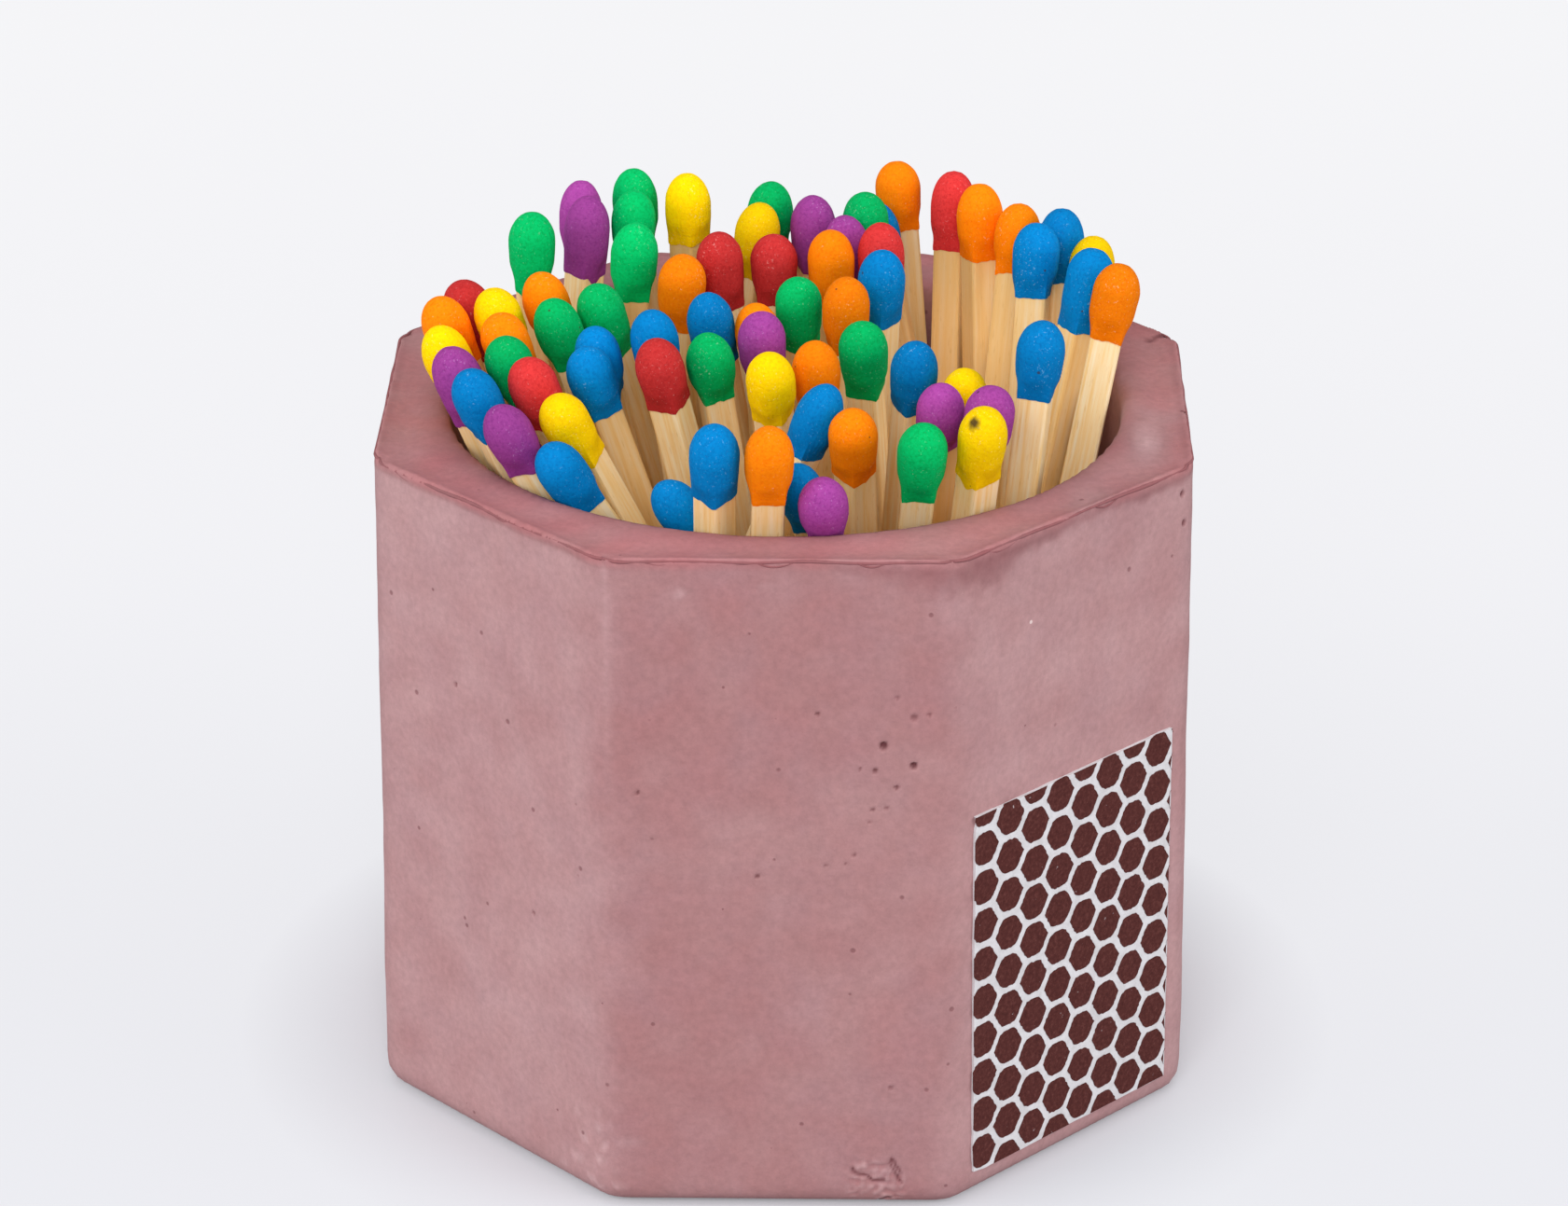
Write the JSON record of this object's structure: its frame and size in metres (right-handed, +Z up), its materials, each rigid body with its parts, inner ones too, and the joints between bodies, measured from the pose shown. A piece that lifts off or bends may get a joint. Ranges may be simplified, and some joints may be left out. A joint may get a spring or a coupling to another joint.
{
  "type": "match holder",
  "caption": "Eight-sided cast pot with a round bore full of loose coloured matches and a honeycomb striker label on one facet; each match pulls out.",
  "frame": {"origin": "middle of the flat underside, on the surface that the pot stands on", "axes": "+Z up along the bore; the front facet faces -Y and the striker label is on the facet that faces +X -Y"},
  "size_m": [0.051, 0.051, 0.0528],
  "materials": {
    "cast_plaster": "matt pink plaster, cast and unglazed, with pinholes and a mottled tint",
    "striker_paper": "white label paper with a rough brown striking compound printed in a honeycomb",
    "blue_match": "plain pale splint with a matt, grainy blue head",
    "green_match": "plain pale splint with a matt, grainy green head",
    "purple_match": "plain pale splint with a matt, grainy purple head",
    "yellow_match": "plain pale splint with a matt, grainy yellow head",
    "orange_match": "plain pale splint with a matt, grainy orange head",
    "red_match": "plain pale splint with a matt, grainy red head"
  },
  "bodies": {
    "pot": {"pot": "cast_plaster", "striker_label": "striker_paper"},
    "match_01_green": {"match_01_green": "green_match"},
    "match_02_purple": {"match_02_purple": "purple_match"},
    "match_03_green": {"match_03_green": "green_match"},
    "match_04_yellow": {"match_04_yellow": "yellow_match"},
    "match_05_green": {"match_05_green": "green_match"},
    "match_06_green": {"match_06_green": "green_match"},
    "match_07_purple": {"match_07_purple": "purple_match"},
    "match_08_green": {"match_08_green": "green_match"},
    "match_09_orange": {"match_09_orange": "orange_match"},
    "match_10_red": {"match_10_red": "red_match"},
    "match_11_orange": {"match_11_orange": "orange_match"},
    "match_12_orange": {"match_12_orange": "orange_match"},
    "match_13_blue": {"match_13_blue": "blue_match"},
    "match_14_blue": {"match_14_blue": "blue_match"},
    "match_15_blue": {"match_15_blue": "blue_match"},
    "match_16_orange": {"match_16_orange": "orange_match"},
    "match_17_red": {"match_17_red": "red_match"},
    "match_18_yellow": {"match_18_yellow": "yellow_match"},
    "match_19_orange": {"match_19_orange": "orange_match"},
    "match_20_yellow": {"match_20_yellow": "yellow_match"},
    "match_21_orange": {"match_21_orange": "orange_match"},
    "match_22_orange": {"match_22_orange": "orange_match"},
    "match_23_green": {"match_23_green": "green_match"},
    "match_24_green": {"match_24_green": "green_match"},
    "match_25_purple": {"match_25_purple": "purple_match"},
    "match_26_green": {"match_26_green": "green_match"},
    "match_27_red": {"match_27_red": "red_match"},
    "match_28_blue": {"match_28_blue": "blue_match"},
    "match_29_yellow": {"match_29_yellow": "yellow_match"},
    "match_30_blue": {"match_30_blue": "blue_match"},
    "match_31_purple": {"match_31_purple": "purple_match"},
    "match_32_blue": {"match_32_blue": "blue_match"},
    "match_33_orange": {"match_33_orange": "orange_match"},
    "match_34_red": {"match_34_red": "red_match"},
    "match_35_red": {"match_35_red": "red_match"},
    "match_36_orange": {"match_36_orange": "orange_match"},
    "match_37_red": {"match_37_red": "red_match"},
    "match_38_blue": {"match_38_blue": "blue_match"},
    "match_39_blue": {"match_39_blue": "blue_match"},
    "match_40_blue": {"match_40_blue": "blue_match"},
    "match_41_purple": {"match_41_purple": "purple_match"},
    "match_42_green": {"match_42_green": "green_match"},
    "match_43_orange": {"match_43_orange": "orange_match"},
    "match_44_red": {"match_44_red": "red_match"},
    "match_45_green": {"match_45_green": "green_match"},
    "match_46_yellow": {"match_46_yellow": "yellow_match"},
    "match_47_orange": {"match_47_orange": "orange_match"},
    "match_48_green": {"match_48_green": "green_match"},
    "match_49_blue": {"match_49_blue": "blue_match"},
    "match_50_blue": {"match_50_blue": "blue_match"},
    "match_51_purple": {"match_51_purple": "purple_match"},
    "match_52_purple": {"match_52_purple": "purple_match"},
    "match_53_yellow": {"match_53_yellow": "yellow_match"},
    "match_54_green": {"match_54_green": "green_match"},
    "match_55_orange": {"match_55_orange": "orange_match"},
    "match_56_orange": {"match_56_orange": "orange_match"},
    "match_57_blue": {"match_57_blue": "blue_match"},
    "match_58_purple": {"match_58_purple": "purple_match"}
  },
  "joints": [
    {"name": "pull_match_01_green", "type": "slide", "parent": "pot", "child": "match_01_green", "axis": [0.0127, 0.0506, 0.9986], "range_m": [0, 0.042]},
    {"name": "pull_match_02_purple", "type": "slide", "parent": "pot", "child": "match_02_purple", "axis": [0.0711, 0.0583, 0.9958], "range_m": [0, 0.042]},
    {"name": "pull_match_03_green", "type": "slide", "parent": "pot", "child": "match_03_green", "axis": [-0.0696, -0.0087, 0.9975], "range_m": [0, 0.042]},
    {"name": "pull_match_04_yellow", "type": "slide", "parent": "pot", "child": "match_04_yellow", "axis": [-0.0305, 0.0255, 0.9992], "range_m": [0, 0.042]},
    {"name": "pull_match_05_green", "type": "slide", "parent": "pot", "child": "match_05_green", "axis": [0.0758, -0.1281, 0.9889], "range_m": [0, 0.042]},
    {"name": "pull_match_06_green", "type": "slide", "parent": "pot", "child": "match_06_green", "axis": [0.0734, -0.0786, 0.9942], "range_m": [0, 0.042]},
    {"name": "pull_match_07_purple", "type": "slide", "parent": "pot", "child": "match_07_purple", "axis": [-0.0263, -0.1369, 0.9902], "range_m": [0, 0.042]},
    {"name": "pull_match_08_green", "type": "slide", "parent": "pot", "child": "match_08_green", "axis": [-0.0379, -0.106, 0.9936], "range_m": [0, 0.042]},
    {"name": "pull_match_09_orange", "type": "slide", "parent": "pot", "child": "match_09_orange", "axis": [-0.0814, 0.0972, 0.9919], "range_m": [0, 0.042]},
    {"name": "pull_match_10_red", "type": "slide", "parent": "pot", "child": "match_10_red", "axis": [0.0165, 0.1703, 0.9853], "range_m": [0, 0.042]},
    {"name": "pull_match_11_orange", "type": "slide", "parent": "pot", "child": "match_11_orange", "axis": [-0.0247, 0.1171, 0.9928], "range_m": [0, 0.042]},
    {"name": "pull_match_12_orange", "type": "slide", "parent": "pot", "child": "match_12_orange", "axis": [0.0911, 0.1848, 0.9785], "range_m": [0, 0.042]},
    {"name": "pull_match_13_blue", "type": "slide", "parent": "pot", "child": "match_13_blue", "axis": [0.045, 0.1374, 0.9895], "range_m": [0, 0.042]},
    {"name": "pull_match_14_blue", "type": "slide", "parent": "pot", "child": "match_14_blue", "axis": [0.0595, 0.1176, 0.9913], "range_m": [0, 0.042]},
    {"name": "pull_match_15_blue", "type": "slide", "parent": "pot", "child": "match_15_blue", "axis": [0.1846, 0.1295, 0.9743], "range_m": [0, 0.042]},
    {"name": "pull_match_16_orange", "type": "slide", "parent": "pot", "child": "match_16_orange", "axis": [0.1802, 0.1195, 0.9763], "range_m": [0, 0.042]},
    {"name": "pull_match_17_red", "type": "slide", "parent": "pot", "child": "match_17_red", "axis": [-0.314, -0.1556, 0.9366], "range_m": [0, 0.042]},
    {"name": "pull_match_18_yellow", "type": "slide", "parent": "pot", "child": "match_18_yellow", "axis": [-0.284, -0.1446, 0.9479], "range_m": [0, 0.042]},
    {"name": "pull_match_19_orange", "type": "slide", "parent": "pot", "child": "match_19_orange", "axis": [-0.2873, -0.1775, 0.9412], "range_m": [0, 0.042]},
    {"name": "pull_match_20_yellow", "type": "slide", "parent": "pot", "child": "match_20_yellow", "axis": [-0.3202, -0.1845, 0.9292], "range_m": [0, 0.042]},
    {"name": "pull_match_21_orange", "type": "slide", "parent": "pot", "child": "match_21_orange", "axis": [-0.3092, -0.16, 0.9374], "range_m": [0, 0.042]},
    {"name": "pull_match_22_orange", "type": "slide", "parent": "pot", "child": "match_22_orange", "axis": [-0.2349, -0.2127, 0.9485], "range_m": [0, 0.042]},
    {"name": "pull_match_23_green", "type": "slide", "parent": "pot", "child": "match_23_green", "axis": [-0.2234, -0.2564, 0.9404], "range_m": [0, 0.042]},
    {"name": "pull_match_24_green", "type": "slide", "parent": "pot", "child": "match_24_green", "axis": [-0.2552, -0.237, 0.9374], "range_m": [0, 0.042]},
    {"name": "pull_match_25_purple", "type": "slide", "parent": "pot", "child": "match_25_purple", "axis": [-0.3245, -0.192, 0.9262], "range_m": [0, 0.042]},
    {"name": "pull_match_26_green", "type": "slide", "parent": "pot", "child": "match_26_green", "axis": [-0.324, -0.1699, 0.9307], "range_m": [0, 0.042]},
    {"name": "pull_match_27_red", "type": "slide", "parent": "pot", "child": "match_27_red", "axis": [-0.3339, -0.1843, 0.9244], "range_m": [0, 0.042]},
    {"name": "pull_match_28_blue", "type": "slide", "parent": "pot", "child": "match_28_blue", "axis": [-0.2546, -0.2673, 0.9294], "range_m": [0, 0.042]},
    {"name": "pull_match_29_yellow", "type": "slide", "parent": "pot", "child": "match_29_yellow", "axis": [-0.3832, -0.2363, 0.8929], "range_m": [0, 0.042]},
    {"name": "pull_match_30_blue", "type": "slide", "parent": "pot", "child": "match_30_blue", "axis": [-0.3377, -0.2, 0.9198], "range_m": [0, 0.042]},
    {"name": "pull_match_31_purple", "type": "slide", "parent": "pot", "child": "match_31_purple", "axis": [-0.4022, -0.2176, 0.8893], "range_m": [0, 0.042]},
    {"name": "pull_match_32_blue", "type": "slide", "parent": "pot", "child": "match_32_blue", "axis": [-0.4595, -0.2615, 0.8488], "range_m": [0, 0.042]},
    {"name": "pull_match_33_orange", "type": "slide", "parent": "pot", "child": "match_33_orange", "axis": [0.0764, -0.2632, 0.9617], "range_m": [0, 0.042]},
    {"name": "pull_match_34_red", "type": "slide", "parent": "pot", "child": "match_34_red", "axis": [-0.0486, -0.201, 0.9784], "range_m": [0, 0.042]},
    {"name": "pull_match_35_red", "type": "slide", "parent": "pot", "child": "match_35_red", "axis": [-0.0061, -0.256, 0.9666], "range_m": [0, 0.042]},
    {"name": "pull_match_36_orange", "type": "slide", "parent": "pot", "child": "match_36_orange", "axis": [-0.0304, -0.1976, 0.9798], "range_m": [0, 0.042]},
    {"name": "pull_match_37_red", "type": "slide", "parent": "pot", "child": "match_37_red", "axis": [-0.0278, -0.1539, 0.9877], "range_m": [0, 0.042]},
    {"name": "pull_match_38_blue", "type": "slide", "parent": "pot", "child": "match_38_blue", "axis": [0.0394, -0.2042, 0.9781], "range_m": [0, 0.042]},
    {"name": "pull_match_39_blue", "type": "slide", "parent": "pot", "child": "match_39_blue", "axis": [-0.121, -0.2584, 0.9584], "range_m": [0, 0.042]},
    {"name": "pull_match_40_blue", "type": "slide", "parent": "pot", "child": "match_40_blue", "axis": [-0.1317, -0.3026, 0.944], "range_m": [0, 0.042]},
    {"name": "pull_match_41_purple", "type": "slide", "parent": "pot", "child": "match_41_purple", "axis": [-0.0226, -0.3165, 0.9483], "range_m": [0, 0.042]},
    {"name": "pull_match_42_green", "type": "slide", "parent": "pot", "child": "match_42_green", "axis": [-0.0028, -0.3217, 0.9468], "range_m": [0, 0.042]},
    {"name": "pull_match_43_orange", "type": "slide", "parent": "pot", "child": "match_43_orange", "axis": [0.0292, -0.2401, 0.9703], "range_m": [0, 0.042]},
    {"name": "pull_match_44_red", "type": "slide", "parent": "pot", "child": "match_44_red", "axis": [-0.1976, -0.2312, 0.9526], "range_m": [0, 0.042]},
    {"name": "pull_match_45_green", "type": "slide", "parent": "pot", "child": "match_45_green", "axis": [-0.109, -0.3125, 0.9436], "range_m": [0, 0.042]},
    {"name": "pull_match_46_yellow", "type": "slide", "parent": "pot", "child": "match_46_yellow", "axis": [-0.0665, -0.3281, 0.9423], "range_m": [0, 0.042]},
    {"name": "pull_match_47_orange", "type": "slide", "parent": "pot", "child": "match_47_orange", "axis": [-0.0259, -0.3449, 0.9383], "range_m": [0, 0.042]},
    {"name": "pull_match_48_green", "type": "slide", "parent": "pot", "child": "match_48_green", "axis": [-0.0533, -0.3571, 0.9326], "range_m": [0, 0.042]},
    {"name": "pull_match_49_blue", "type": "slide", "parent": "pot", "child": "match_49_blue", "axis": [0.0493, -0.3545, 0.9337], "range_m": [0, 0.042]},
    {"name": "pull_match_50_blue", "type": "slide", "parent": "pot", "child": "match_50_blue", "axis": [0.0874, -0.0771, 0.9932], "range_m": [0, 0.042]},
    {"name": "pull_match_51_purple", "type": "slide", "parent": "pot", "child": "match_51_purple", "axis": [0.0362, -0.4088, 0.9119], "range_m": [0, 0.042]},
    {"name": "pull_match_52_purple", "type": "slide", "parent": "pot", "child": "match_52_purple", "axis": [0.095, -0.3567, 0.9294], "range_m": [0, 0.042]},
    {"name": "pull_match_53_yellow", "type": "slide", "parent": "pot", "child": "match_53_yellow", "axis": [0.0739, -0.3496, 0.934], "range_m": [0, 0.042]},
    {"name": "pull_match_54_green", "type": "slide", "parent": "pot", "child": "match_54_green", "axis": [0.0531, -0.4067, 0.912], "range_m": [0, 0.042]},
    {"name": "pull_match_55_orange", "type": "slide", "parent": "pot", "child": "match_55_orange", "axis": [-0.0208, -0.4462, 0.8947], "range_m": [0, 0.042]},
    {"name": "pull_match_56_orange", "type": "slide", "parent": "pot", "child": "match_56_orange", "axis": [0.0213, -0.339, 0.9405], "range_m": [0, 0.042]},
    {"name": "pull_match_57_blue", "type": "slide", "parent": "pot", "child": "match_57_blue", "axis": [0.0145, -0.3433, 0.9391], "range_m": [0, 0.042]},
    {"name": "pull_match_58_purple", "type": "slide", "parent": "pot", "child": "match_58_purple", "axis": [-0.0341, -0.521, 0.8529], "range_m": [0, 0.042]}
  ]
}
